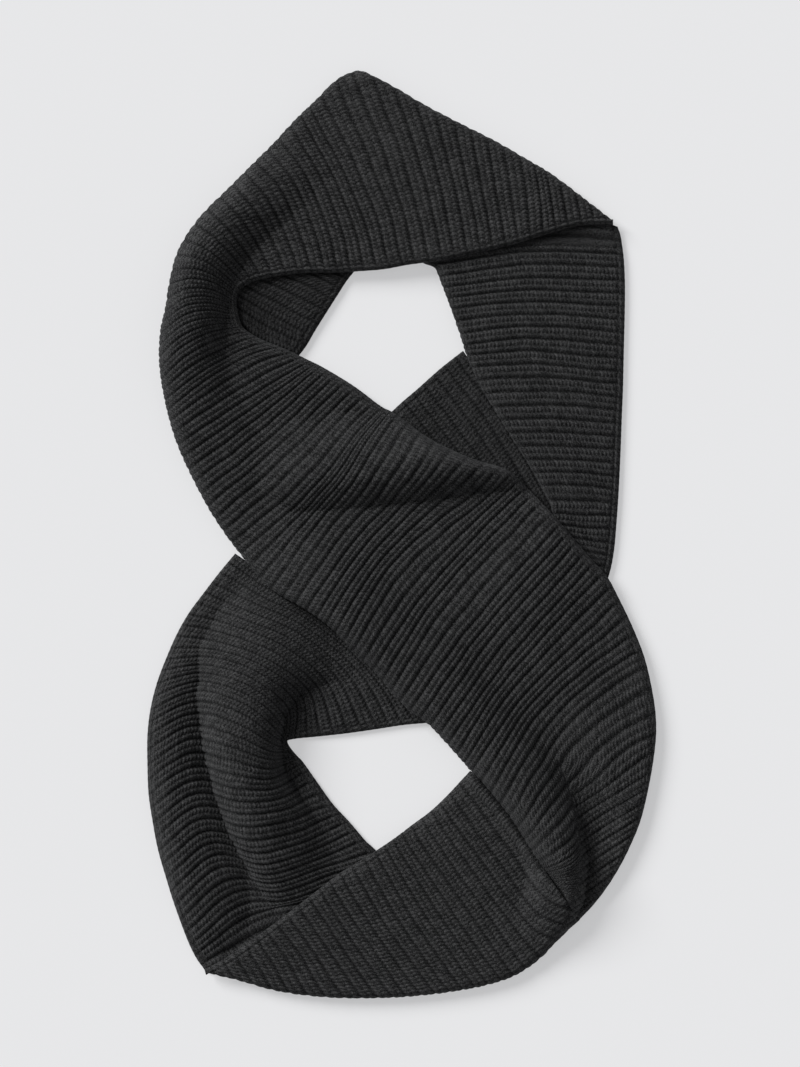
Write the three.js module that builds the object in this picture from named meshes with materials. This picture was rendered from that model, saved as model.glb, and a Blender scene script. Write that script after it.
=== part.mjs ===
import * as THREE from 'three';

// A ribbed knit infinity scarf: one wide band closed in a loop, laid flat in a figure eight.
// Lengths are in mm. +X is right and +Y up in the laid view, +Z is away from the surface at z = 0.
// The ribs run across the band. Each stretch of the band that shows is a body of its own.

const ROUNDING = 0.55; // radius of a rounded side, as a share of the cloth's height there
const SIDE_LIMIT = 0.45; // most of a rib's length that one side may use
const FADE = 1.6; // radii over which the ribs fade out towards a side
const FOOT = 0.45; // where a flat underside starts, as a share of the side's radius
const LEDGE_LIMIT = 0.36; // most of a rib's length that one ledge may use
const STEP_LIMIT = 0.1; // and the slope behind that ledge
const CURVED_AT = [0.52, 0.48]; // middle points of a curved underside, as shares of the rib's length
const RIB_RISE = 0.7; // crest of a rib above the mean face of the cloth
const SEAM = 0.45; // space left between two stretches that meet along a rib
const LEDGE = 9; // how far a lower layer may reach under an edge that lies on it
const LEDGE_STEP = 4; // the run over which the underside comes down behind that edge
const EDGE_RIB = 0.3; // share of the rib height left at a turned edge
const COLUMNS_PER_RIB = 2;
const FINE_STEPS = 96; // samples along a rib before its points are spaced out

// A section is one rib line: five places from side 0 to side 4, the height of the underside
// at both sides and between them, and the height of the cloth's mean face there.
const RIB_LINE = [
  'rib', 'x0', 'y0', 'x1', 'y1', 'x2', 'y2', 'x3', 'y3', 'x4', 'y4',
  'low0', 'lowM', 'low4', 'top0', 'topM', 'top4',
];

// A plainer section: three places.
const SHORT_LINE = [
  'rib', 'x0', 'y0', 'x2', 'y2', 'x4', 'y4', 'low0', 'lowM', 'low4', 'top0', 'topM', 'top4',
];

// A soft fold: a crest line with its rise, its width to the left and right of the line's
// direction, and how each side falls: 0.5 is round and steep, 2 is soft.
const FOLD_POINT = ['x', 'y', 'rise', 'left', 'right', 'fallL', 'fallR'];

function table(columns, rows) {
  return rows.map((row) => Object.fromEntries(columns.map((name, i) => [name, row[i]])));
}

// Top stretch: side 0 is its lower selvedge, side 4 the fold along the top and the left.
const UPPER = table(RIB_LINE, [
  [0, 137.2, 201.2, 136.9, 202, 136.6, 202.9, 136.2, 203.8, 135.8, 204.8, 5.8, 5.8, 5.8, 9.4, 9.4, 9.4],
  [2, 121, 201, 120.3, 205, 119.5, 209.5, 118.6, 214, 117.5, 218.8, 6.4, 6.4, 5, 10.4, 10.6, 10.2],
  [3, 112.5, 200, 111.3, 206, 110.2, 212.5, 109, 219, 107.7, 226.5, 7.4, 3, 1, 11.5, 11, 10],
  [4, 104, 197.8, 102.5, 207, 101, 216, 99.5, 225, 97.8, 233.8, 8.2, 0, 0, 12.3, 11.5, 10],
  [6, 88, 193, 87, 205, 85.5, 217, 84, 229.5, 82, 243.3, 9.2, 0, 0, 13.3, 12, 10],
  [8, 71.5, 188, 69, 204, 66, 221, 63, 239, 60.3, 255.8, 9.6, 0, 0, 13.8, 12, 10],
  [10, 55, 184, 52, 203, 48, 224, 43.5, 245, 39, 266.5, 9.8, 0, 0, 14, 12, 10],
  [12, 38.5, 180.5, 34.5, 204, 29, 229, 22.5, 254, 15, 279, 9.9, 0, 0, 14.1, 12, 10],
  [14, 22, 177.3, 16.5, 205, 8.5, 235, -1, 265, -12, 294.5, 9.9, 0, 0, 14.1, 12, 10],
  [15, 13.5, 176.3, 7, 204.5, -1.3, 233.5, -12, 263.5, -26.5, 301, 9.4, 0, 0, 13.6, 12, 10],
  [16, 5, 175.2, -2, 204, -11, 232, -22, 261, -38, 297.8, 8.6, 0, 0, 12.8, 12, 10],
  [18, -11.7, 172.3, -18, 198, -28, 224, -40, 250, -56.5, 281.3, 7, 0, 0, 11.2, 12, 10],
  [20, -28.6, 171, -34, 196, -43, 221, -54, 243, -69, 269.3, 6, 0, 0, 10.2, 12, 10.5],
  [22, -45.4, 170, -51, 194, -59, 216, -69, 236, -83.5, 253.5, 5.7, 0, 0, 9.9, 12, 11],
  [24, -62.3, 169.8, -67.5, 187, -75, 206, -85, 224, -98.5, 238.5, 5.7, 0, 0, 9.9, 12, 11.5],
  [26, -79, 168, -83, 178, -90, 192, -99, 207, -113.5, 223.3, 5.7, 0, 0, 9.9, 11.5, 12],
  [28, -94, 165, -98, 172, -105.5, 182, -115.5, 194, -130.5, 206, 5.7, 0, 0, 9.9, 9.6, 12],
  [30, -103.5, 160.3, -108.5, 166, -117, 173.5, -128, 181, -143.5, 186.5, 5.7, 0, 0, 9.9, 9, 11],
  [32.5, -106.8, 153.5, -112.5, 158, -122, 163, -134, 165, -150.5, 162, 5.7, 0, 0, 9.9, 9, 11],
  [34, -107, 149.5, -113, 152.5, -123, 156, -135, 156, -152.5, 148.5, 5.7, 0, 0, 9.9, 9, 11],
]);

// Crossing stretch: side 0 is its upper right edge, side 4 its left and lower left edge.
const CROSSING = table(RIB_LINE, [
  [30, -103.5, 160.3, -108.5, 166, -117, 173.5, -128, 181, -143.5, 186.5, 5.7, 0, 0, 9.9, 9, 11],
  [32.5, -106.8, 153.5, -112.5, 158, -122, 163, -134, 165, -150.5, 162, 5.7, 0, 0, 9.9, 9, 11],
  [34, -107, 149.5, -113, 152.5, -123, 156, -135, 156, -152.5, 148.5, 5.7, 0, 0, 9.9, 9, 11],
  [36, -106, 144, -112.5, 145.5, -123, 147.5, -137, 145.5, -155.8, 134, 5.7, 0, 0, 9.9, 9.4, 11],
  [38, -104.5, 138.5, -112, 138.5, -124, 138, -139, 133, -157, 118.5, 5.7, 0, 0, 9.9, 11.5, 12],
  [40, -101.5, 133.5, -110, 132, -123, 128.5, -139, 119, -156.2, 104, 5.7, 0, 0, 9.9, 12, 12],
  [42, -91, 127, -105, 122, -121, 114, -137, 103.5, -154, 90.5, 5.7, 0, 0, 9.9, 12.5, 12],
  [44, -75, 120.5, -93, 115.5, -113, 105, -132, 92, -151, 77, 5.7, 0, 0, 9.9, 13, 12],
  [46, -61.5, 114, -80, 104.5, -102, 91.5, -124, 77, -146.5, 62, 4, 0, 0, 10, 13, 12],
  [49.2, -49.5, 108, -66, 92.5, -86, 75, -108, 57.5, -135.5, 37, 0, 0, 0, 10, 13, 12],
  [52.4, -30, 96, -47, 80, -66, 60.5, -90, 38, -121.5, 11.5, 0, 0, 0, 10, 13, 12],
  [55.1, -14, 84, -31, 67, -47, 46, -70, 22, -107, -9, 0, 0, 4, 10, 13, 11],
  [58.5, -3, 78, -14, 62, -30, 36, -52, 10, -84.5, -34.5, 5, 0, 10.6, 10, 13, 14.6],
  [61.5, 21, 61, 11, 44, -6, 23, -30, -3, -61.5, -48.3, 5.7, 0, 14.5, 10.6, 13.5, 18.5],
  [64, 48, 48.6, 32, 33, 6, 9, -19, -18, -46, -59.5, 5.7, 0, 14.5, 10.6, 13.5, 18.5],
  [66, 68, 42.6, 52, 26, 26, 6, -2, -20, -34.5, -71.2, 5.7, 0, 12.5, 10.6, 13, 16.5],
  [68, 79, 33, 62, 18, 36, -8, 10, -37, -22, -83.7, 5.8, 0, 10, 10.8, 13, 14.2],
  [70.3, 89.5, 22.5, 71, 3, 46, -23, 21, -53, -8, -99.2, 7.5, 0, 7.4, 12, 13, 11.8],
  [72.3, 102, 9, 82, -13, 57, -41, 32, -72, 4, -112.6, 10.6, 0, 5.9, 14.8, 13.5, 10.3],
  [74.3, 112.5, -3.5, 92, -26, 66, -55, 42, -86, 17, -122, 9.8, 0, 5.9, 14, 13.5, 10.3],
  [76.2, 123, -15.5, 103, -38, 77, -67, 53, -97, 28, -133.5, 8, 0, 5, 12.2, 13, 10],
  [78, 134, -28, 114, -48, 88, -76, 63, -105, 38, -144.7, 5.8, 0, 4, 10.2, 12.5, 9.8],
  [79.5, 141.5, -42, 122, -61, 97, -85, 72, -113, 44.8, -152.6, 0, 0, 0, 9, 12, 9.8],
  [81.3, 150.5, -61, 129, -77, 104, -98, 78, -127, 56, -166, 0, 0, 0, 9, 11, 10.5],
  [83.4, 158.8, -83.5, 137, -97, 111, -118, 88, -149, 68.5, -181, 0, 0, 0, 9, 10, 11.5],
  [85.8, 165.1, -119, 143, -131, 119, -153, 98, -177, 80.3, -199.5, 0, 0, 0, 9, 9.5, 12.5],
  [88, 163.3, -147, 142, -161, 123, -181, 109, -202, 89.8, -214.3, 0, 0, 0, 9, 9.5, 13],
  [90, 157, -178.5, 139, -188, 123, -199, 110, -213, 94, -219, 0, 0, 0, 9, 9.5, 13],
  [92.5, 148.5, -201.5, 134, -208, 121, -214.5, 109, -219.5, 96, -222.5, 0, 0, 0, 9, 9.5, 12],
  [95, 138.2, -221, 127.5, -224.5, 117.5, -226.5, 108, -226.5, 98.5, -226, 0, 0, 0, 9, 9.5, 11],
  [97.5, 127, -237, 120, -236, 113.5, -234.5, 107.5, -232, 101.5, -230, 0, 0, 0, 9, 9.5, 10.5],
  [100, 115.5, -249.6, 112.8, -245.6, 110.2, -241.6, 107.4, -237.8, 104.5, -234, 0, 0, 0, 9, 9.5, 10],
]);

// Bottom stretch: side 0 is its outer turned edge, side 4 its upper selvedge.
const BOTTOM = table(RIB_LINE, [
  [0, 114.9, -250, 103.5, -234.1, 91.6, -218.2, 68.6, -183.6, 43.9, -153.5, 0, 0, 0, 9, 9.5, 9.7],
  [2, 101.5, -262.5, 89, -247, 77, -231, 54.5, -199.5, 31, -167.6, 0, 0, 0, 9, 10, 9.7],
  [4, 88.5, -275.8, 76, -259, 64, -242.5, 41.5, -211, 19, -179, 0, 0, 0, 9, 10.5, 9.7],
  [6, 73, -286, 61, -269.5, 50, -253, 28, -222, 6, -188.7, 0, 0, 2, 9, 10.5, 9.7],
  [8, 56, -291.7, 45, -276.5, 34.5, -261, 14.5, -230, -5.5, -197.3, 0, 0, 5.8, 9, 10.5, 9.9],
  [10, 40, -295, 30, -281.5, 19, -266, 1, -238, -17, -205, 0, 0, 5.8, 9, 10.5, 10],
  [13, 13, -298.6, 3, -286, -7.5, -271, -24, -246, -40, -219.2, 0, 0, 6.6, 9, 10.5, 10.8],
  [16, -15, -300.3, -23, -289.5, -32.5, -275.5, -46, -256, -60, -234.5, 0, 0, 8.9, 9, 10.5, 13],
  [19, -49, -299.8, -56, -289, -63, -276, -72, -263, -81.5, -251, 0, 0, 8, 9, 10.5, 12.2],
  [22, -84, -295, -87.5, -289, -91.5, -281.5, -96.5, -273.5, -101, -265.3, 0, 0, 5.8, 9, 10, 10],
  [24, -108, -288.2, -110, -285.3, -112, -282, -114, -279, -116, -275.3, 2, 2, 5.8, 9, 9.5, 10],
  [25.5, -126.6, -283.8, -126.9, -283.3, -127.2, -282.8, -127.5, -282.3, -127.8, -281.8, 5.8, 5.8, 5.8, 9.4, 9.4, 9.4],
]);

// Right stretch: side 0 is the fold on its left, side 4 its outer selvedge.
const RIGHT = table(SHORT_LINE, [
  [0, 112, 206.5, 127, 204.5, 140.3, 200.2, 0, 0, 0, 4.4, 4.3, 4.2],
  [0.7, 76, 195.5, 112, 199, 142.2, 194.6, 0, 0, 0, 6.5, 5.5, 4.2],
  [1.4, 19.5, 180.5, 80, 188.8, 143.4, 187.3, 0, 0, 0, 8.4, 7, 4.2],
  [2.3, 22.3, 173, 80, 181.3, 144.3, 180, 0, 0, 0, 8.4, 7.2, 4.4],
  [3.8, 26.5, 162, 75, 168, 145, 167, 0, 0, 0, 8.4, 7.2, 4.4],
  [6.3, 33, 144.5, 75, 148.7, 145, 146, 2, 0, 0, 8.6, 7.2, 4.4],
  [8.3, 38.5, 128.5, 75, 132.7, 144.6, 129, 5.7, 0, 0, 9.9, 7.4, 4.4],
  [10.3, 43, 114.5, 75, 116.7, 144.2, 112, 5.7, 0, 0, 9.9, 7.6, 4.4],
  [12.4, 51, 97, 85, 99, 143.8, 94.5, 5.7, 0, 0, 9.9, 7.6, 4.4],
  [14.4, 61, 80, 95, 80.7, 143.1, 77.5, 5.7, 0, 0, 9.9, 7.6, 4.4],
  [16.4, 71.5, 63, 105, 63.2, 142.5, 60.5, 5.7, 0, 0, 9.9, 7.6, 4.4],
  [18.3, 82, 46.5, 110, 46.2, 141.8, 44, 5.7, 0, 0, 9.9, 7.6, 4.4],
  [20.2, 91, 31, 115, 30.2, 141, 28, 5.7, 0, 0, 9.9, 7.4, 4.4],
  [21.4, 97, 19, 118, 18.7, 140.3, 17, 5.7, 0, 0, 9.9, 7.2, 4.4],
  [22.4, 98, 11.5, 118, 10.2, 139.7, 9, 5.7, 0, 0, 9.6, 7, 4.4],
  [24.5, 105, -4, 123, -7.5, 138, -10, 1.5, 0, 0, 7.6, 5.8, 4.3],
  [26.1, 119, -18.5, 128, -20.5, 135.8, -22, 0, 0, 0, 5.6, 5, 4.2],
  [26.9, 127, -26.5, 131, -27.6, 134, -28.5, 0, 0, 0, 4.4, 4.3, 4.2],
]);

// Under-layer that comes out between the right and the crossing stretch.
const INNER_TUCK = table(SHORT_LINE, [
  [0, -9, 77.5, -4, 73, 1, 68.5, 0, 0, 0, 4.2, 4.2, 4.2],
  [1.4, 0, 86, 13, 71, 26, 55, 0, 0, 0, 4.2, 4.2, 4.2],
  [2.9, 10, 94.5, 28, 71.5, 48, 44, 0, 0, 0, 4.2, 4.2, 4.2],
  [4.4, 20, 103.5, 43, 74, 68, 37.5, 0, 0, 0, 4.2, 4.2, 4.2],
  [5.2, 25.5, 108.3, 52, 74, 82, 26, 0, 0, 0, 4.2, 4.2, 4.2],
  [5.9, 30.5, 112.3, 60, 74, 96.5, 12.5, 0, 0, 0, 4.2, 4.2, 4.2],
  [7.2, 40, 119.6, 67, 80, 102.5, 13, 0, 0, 0, 4.2, 4.2, 4.2],
]);

// Under-layer of the left fold, seen in the upper opening.
const LEFT_UNDERLAY = table(SHORT_LINE, [
  [0, -111.5, 141, -95, 123, -70, 112.5, 0, 0, 0, 4, 4, 4],
  [1.4, -113.5, 151, -88, 135, -62.5, 122, 0, 0, 0, 4, 4, 4],
  [3, -110, 162, -81, 146, -56, 133, 0, 0, 0, 4.2, 4.2, 4.2],
  [4.5, -99, 169, -72, 157, -48.5, 145, 0, 0, 0, 4.2, 4.2, 4.2],
  [6, -84, 174.5, -62, 167, -41.5, 156, 0, 0, 0, 4.2, 4.2, 4.2],
  [7.5, -62, 176.5, -48, 172.5, -35, 166, 0, 0, 0, 4.2, 4.2, 4.2],
  [8.5, -42, 177, -36, 175, -30.5, 171.5, 0, 0, 0, 4.2, 4.2, 4.2],
]);

// Lower left stretch: side 0 is its outer selvedge, side 4 its inner side.
const LOWER_LEFT = table(RIB_LINE, [
  [0, -108, -12, -76, -33.5, -53, -50, 0, -100, 17.6, -121.9, 0, 0, 0, 4.2, 4.2, 4.2],
  [2, -118, -24, -90, -40, -62, -54, -12, -100, 1, -123.4, 0, 0, 0, 4.2, 4.2, 4.2],
  [4, -128, -37, -100, -49, -66, -64, -30, -97, -16, -126, 0, 0, 0, 4.2, 4.2, 4.2],
  [6, -138.3, -51, -108, -59, -74, -73, -46, -99, -35, -128.7, 0, 0, 0, 4.2, 4.4, 4.2],
  [8, -146.2, -65, -116, -70, -83, -82, -59, -103, -53, -130.7, 0, 0, 0, 4.2, 4.8, 4.2],
  [10, -153, -80.5, -122, -79, -90, -90, -69, -109, -69, -132.3, 0, 0, 0, 4.2, 5, 4.2],
  [11, -156, -88, -126, -84, -93, -94.5, -73, -114, -73.5, -133.2, 0, 0, 0, 4.2, 5, 4.2],
  [12.5, -160, -100, -130, -92, -97, -101, -77, -120, -74, -135, 0, 0, 0, 4.2, 5, 4.2],
  [14, -163, -113, -132, -101, -99, -110, -80, -127, -73, -137, 0, 0, 0, 4.2, 5, 4.2],
  [16, -165, -130, -134, -115.5, -102, -123, -82, -135.5, -71, -139.8, 0, 0, 0, 4.2, 5, 4.2],
  [18, -165, -149, -136, -132, -106, -137.5, -84, -145, -67.5, -143.8, 0, 0, 0, 4.2, 5, 4.2],
  [20, -164.3, -168, -136, -150.5, -108, -154.5, -83, -157, -64, -147.5, 0, 0, 0, 4.2, 5, 4.2],
  [22, -161.5, -187, -133, -167.5, -105, -171.5, -79, -170, -56, -158.8, 0, 0, 0, 4.2, 5, 4.2],
  [24, -158, -205, -129, -183.5, -101, -188.5, -72, -184, -44.8, -174.5, 0, 0, 0, 4.2, 5, 4.2],
  [26, -152.8, -223, -122, -199.5, -95, -205.5, -65, -199, -34.2, -186, 0, 0, 0, 4.2, 4.6, 4.2],
  [28, -147.5, -240, -115, -214.5, -89, -219.5, -58, -211.5, -24, -198, 0, 0, 0, 4.2, 4.4, 4.2],
  [29.5, -142.5, -254, -107, -226.5, -84, -228.5, -53, -219.5, -15, -208.5, 0, 0, 0, 4.2, 4.3, 4.2],
  [31, -137.5, -266.5, -101, -239, -77, -237.5, -50, -228.5, -27, -217.5, 0, 0, 0, 4.2, 4.2, 4.2],
  [32.5, -132.5, -276, -103, -255, -85, -247, -65, -242.5, -45, -230, 0, 0, 0, 4.2, 4.2, 4.2],
  [33.5, -128.5, -281.5, -111, -275, -96, -267.5, -80, -257, -62, -243.5, 0, 0, 0, 4.2, 4.2, 4.2],
]);

const UPPER_FOLDS = [
  // the roll along the left turn
  table(FOLD_POINT, [
    [-50, 258, 0, 24, 30, 1.6, 1.6],
    [-84, 230, 5, 26, 34, 1.5, 1.6],
    [-114, 203, 12, 26, 34, 1.4, 1.3],
    [-134, 174, 18, 26, 27, 1.2, 1],
    [-139, 144, 19, 26, 28, 1.2, 0.95],
    [-139, 116, 14, 25, 32, 1.3, 1.3],
    [-132, 84, 7, 26, 34, 1.5, 1.5],
    [-114, 50, 3, 28, 34, 1.6, 1.6],
    [-92, 16, 0, 30, 36, 1.6, 1.6],
  ]),
  // the swell across the crossing stretch, steep on its lower side
  table(FOLD_POINT, [
    [-92, 30, 0, 40, 18, 1.5, 1.5],
    [-60, 38, 9, 40, 22, 1.5, 1.1],
    [-22, 43, 14, 38, 24, 1.5, 1],
    [16, 47, 16, 30, 24, 1.5, 0.95],
    [46, 48, 14, 17, 20, 1.5, 0.9],
    [70, 42.5, 7, 13, 14, 1.5, 0.9],
    [84, 32, 0, 10, 10, 1.5, 1],
  ]),
  // the long ridge that runs down the crossing stretch into the lower turn
  table(FOLD_POINT, [
    [-96, 2, 0, 30, 26, 1.5, 1.5],
    [-62, -22, 8, 32, 28, 1.5, 1.1],
    [-26, -56, 12, 34, 28, 1.6, 1.1],
    [12, -92, 13, 36, 28, 1.6, 1.1],
    [46, -128, 14, 34, 27, 1.6, 1.1],
    [76, -162, 15, 30, 25, 1.5, 1.1],
    [96, -190, 16, 22, 24, 1.3, 1.1],
    [106, -212, 17, 15, 24, 0.9, 1.1],
    [105, -232, 14, 14, 26, 0.8, 1.3],
    [98, -250, 8, 14, 26, 0.9, 1.5],
    [88, -266, 2, 14, 24, 1.2, 1.6],
    [78, -276, 0, 14, 22, 1.2, 1.6],
  ]),
  // the hollow beside that ridge
  table(FOLD_POINT, [
    [30, -52, 0, 22, 20, 1.5, 1.5],
    [58, -84, -3.5, 22, 22, 1.5, 1.5],
    [88, -116, -5, 22, 22, 1.5, 1.5],
    [112, -150, -5, 20, 18, 1.5, 1.5],
    [127, -184, -4, 18, 14, 1.5, 1.5],
    [126, -220, 0, 14, 12, 1.5, 1.5],
  ]),
];

const LOWER_FOLDS = [
  // the raised pleat that turns down the lower left stretch
  table(FOLD_POINT, [
    [-56, -48, 0, 52, 44, 1.5, 1.5],
    [-70, -60, 9, 46, 44, 1.3, 1.3],
    [-82, -72, 15, 38, 44, 1, 1],
    [-94, -88, 20, 31, 40, 0.7, 0.8],
    [-102, -108, 24, 28, 31, 0.5, 0.6],
    [-105, -132, 26, 26, 24, 0.5, 0.5],
    [-100, -160, 25.5, 24, 22, 0.6, 0.5],
    [-91, -188, 21, 32, 21, 0.9, 0.5],
    [-81, -212, 14, 36, 18, 1.1, 0.6],
    [-71, -232, 5, 34, 16, 1.3, 0.8],
    [-62, -248, 0, 30, 14, 1.5, 1],
  ]),
  // the low swell along its outer selvedge
  table(FOLD_POINT, [
    [-116, -32, 0, 14, 16, 1.5, 1.5],
    [-136, -68, 4, 18, 14, 1.4, 1.2],
    [-150, -108, 7, 22, 15, 1.3, 1.1],
    [-152, -150, 9, 26, 14, 1.2, 1.1],
    [-146, -192, 11, 32, 15, 1.1, 1.1],
    [-134, -230, 11, 36, 17, 1.1, 1.1],
    [-122, -256, 6, 26, 15, 1.2, 1.2],
    [-112, -272, 0, 16, 12, 1.5, 1.5],
  ]),
];

// A smooth curve through values at uneven places.
function through(places, values, at) {
  const last = places.length - 1;
  let i = 0;
  while (i < last - 1 && at > places[i + 1]) i += 1;
  const slope = (k) => {
    const a = Math.max(0, k - 1);
    const b = Math.min(last, k + 1);
    if (a === k || b === k) return (values[b] - values[a]) / (places[b] - places[a]);
    const back = (values[k] - values[a]) / (places[k] - places[a]);
    const ahead = (values[b] - values[k]) / (places[b] - places[k]);
    const wBack = places[b] - places[k];
    const wAhead = places[k] - places[a];
    return (back * wBack + ahead * wAhead) / (wBack + wAhead);
  };
  const span = places[i + 1] - places[i];
  const t = Math.min(1, Math.max(0, (at - places[i]) / span));
  const t2 = t * t;
  const t3 = t2 * t;
  const start = values[i] * (2 * t3 - 3 * t2 + 1) + slope(i) * span * (t3 - 2 * t2 + t);
  return start + values[i + 1] * (3 * t2 - 2 * t3) + slope(i + 1) * span * (t3 - t2);
}

function sectionAt(rows, rib) {
  const places = rows.map((row) => row.rib);
  const section = {};
  for (const name of Object.keys(rows[0])) {
    section[name] = through(places, rows.map((row) => row[name]), rib);
  }
  return section;
}

// Rise that one fold gives at a place: the nearest place on its crest line decides.
function foldRise(fold, x, y) {
  let best = null;
  for (let i = 0; i < fold.length - 1; i += 1) {
    const a = fold[i];
    const b = fold[i + 1];
    const dx = b.x - a.x;
    const dy = b.y - a.y;
    const t = Math.min(1, Math.max(0, ((x - a.x) * dx + (y - a.y) * dy) / (dx * dx + dy * dy)));
    const ex = x - a.x - dx * t;
    const ey = y - a.y - dy * t;
    const distance = Math.hypot(ex, ey);
    if (!best || distance < best.distance) {
      best = { distance, t, a, b, left: dx * ey - dy * ex > 0 };
    }
  }
  const mix = (name) => best.a[name] + (best.b[name] - best.a[name]) * best.t;
  const q = best.distance / mix(best.left ? 'left' : 'right');
  if (q >= 1) return 0;
  return mix('rise') * (1 - q * q) ** mix(best.left ? 'fallL' : 'fallR');
}

// One rib as a dense line over the cloth, with its turned edges, and its plan length.
function ribLine(rows, folds, rib) {
  const s = sectionAt(rows, rib);
  const names = ['0', '1', '2', '3', '4'].filter((k) => `x${k}` in s);
  const xs = names.map((k) => s[`x${k}`]);
  const ys = names.map((k) => s[`y${k}`]);
  const run = [0];
  for (let i = 1; i < xs.length; i += 1) {
    run.push(run[i - 1] + Math.hypot(xs[i] - xs[i - 1], ys[i] - ys[i - 1]));
  }
  const whole = run[run.length - 1];
  const plan = (d) => [through(run, xs, d), through(run, ys, d)];
  const fullHeight = (d) => {
    const [x, y] = plan(d);
    const level = through([0, 0.5, 1], [s.top0, s.topM, s.top4], d / whole);
    return level + folds.reduce((sum, fold) => sum + foldRise(fold, x, y), 0);
  };
  const ends = [
    { low: s.low0, thick: fullHeight(0) - s.low0 },
    { low: s.low4, thick: fullHeight(whole) - s.low4 },
  ];
  const radius = ends.map((end) => Math.min(end.thick * ROUNDING, whole * SIDE_LIMIT));
  const line = [];
  for (let i = 0; i <= FINE_STEPS; i += 1) {
    const d = whole * (0.5 - 0.5 * Math.cos((Math.PI * i) / FINE_STEPS));
    const [x, y] = plan(d);
    let z = fullHeight(d);
    [d, whole - d].forEach((in_, side) => {
      if (in_ >= radius[side]) return;
      const middle = ends[side].low + ends[side].thick * 0.5;
      const q = 1 - in_ / radius[side];
      z = middle + (z - middle) * Math.sqrt(Math.max(0, 1 - q * q));
    });
    const turned = Math.min(1, Math.min(d / (radius[0] * FADE), (whole - d) / (radius[1] * FADE)));
    line.push({ x, y, z, d, ribShare: EDGE_RIB + (1 - EDGE_RIB) * turned });
  }
  return { line, whole, plan, radius, section: s };
}

// Spaces points along a dense line: the turned edges keep their own points.
function spaced(rib, edgePoints, innerPoints) {
  const { line, whole, radius } = rib;
  const run = [0];
  for (let i = 1; i < line.length; i += 1) {
    const a = line[i - 1];
    const b = line[i];
    run.push(run[i - 1] + Math.hypot(b.x - a.x, b.y - a.y, b.z - a.z));
  }
  const total = run[run.length - 1];
  const runAt = (d) => {
    let i = 1;
    while (i < line.length - 1 && line[i].d < d) i += 1;
    const t = (d - line[i - 1].d) / Math.max(1e-9, line[i].d - line[i - 1].d);
    return run[i - 1] + (run[i] - run[i - 1]) * Math.min(1, Math.max(0, t));
  };
  const first = runAt(radius[0]);
  const last = runAt(whole - radius[1]);
  const wanted = [];
  for (let i = 0; i < edgePoints; i += 1) wanted.push((first * i) / edgePoints);
  for (let i = 0; i <= innerPoints; i += 1) wanted.push(first + ((last - first) * i) / innerPoints);
  for (let i = 1; i <= edgePoints; i += 1) wanted.push(last + ((total - last) * i) / edgePoints);
  return wanted.map((w) => {
    let i = 1;
    while (i < run.length - 1 && run[i] < w) i += 1;
    const t = (w - run[i - 1]) / Math.max(1e-9, run[i] - run[i - 1]);
    const a = line[i - 1];
    const b = line[i];
    const mix = (name) => a[name] + (b[name] - a[name]) * t;
    const along = new THREE.Vector3(b.x - a.x, b.y - a.y, b.z - a.z).normalize();
    const flat = Math.hypot(along.x, along.y) || 1;
    const across = new THREE.Vector3(-along.y / flat, along.x / flat, 0);
    const out = along.clone().cross(across);
    return { x: mix('x'), y: mix('y'), z: mix('z'), share: mix('ribShare'), out };
  });
}

// The closed outline of one section: the ribbed face, then the plain underside back.
function ring(rows, folds, rib, rise, shape) {
  const r = ribLine(rows, folds, rib);
  const { low0, lowM, low4 } = r.section;
  const points = spaced(r, shape.edge, shape.inner).map((p) => {
    const lift = rise * p.share;
    return new THREE.Vector3(p.x + p.out.x * lift, p.y + p.out.y * lift, p.z + p.out.z * lift);
  });
  const ledge = Math.min(LEDGE, r.whole * LEDGE_LIMIT);
  const step = Math.min(LEDGE_STEP, r.whole * STEP_LIMIT);
  const under = [];
  if (shape.ledge0) {
    under.push([r.radius[0] * FOOT, low0], [ledge, low0], [ledge + step, lowM]);
  } else {
    under.push([r.radius[0] * FOOT, low0]);
  }
  const far = [];
  if (shape.ledge4) {
    far.push([r.radius[1] * FOOT, low4], [ledge, low4], [ledge + step, lowM]);
  } else {
    far.push([r.radius[1] * FOOT, low4]);
  }
  const back = [];
  far.forEach(([d, z]) => back.push([r.whole - d, z]));
  if (shape.curved) CURVED_AT.forEach((share) => back.push([r.whole * share, lowM]));
  under.reverse().forEach(([d, z]) => back.push([d, z]));
  back.forEach(([d, z]) => {
    const [x, y] = r.plan(d);
    points.push(new THREE.Vector3(x, y, Math.max(0, z)));
  });
  return { points, faceCount: points.length - back.length };
}

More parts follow.
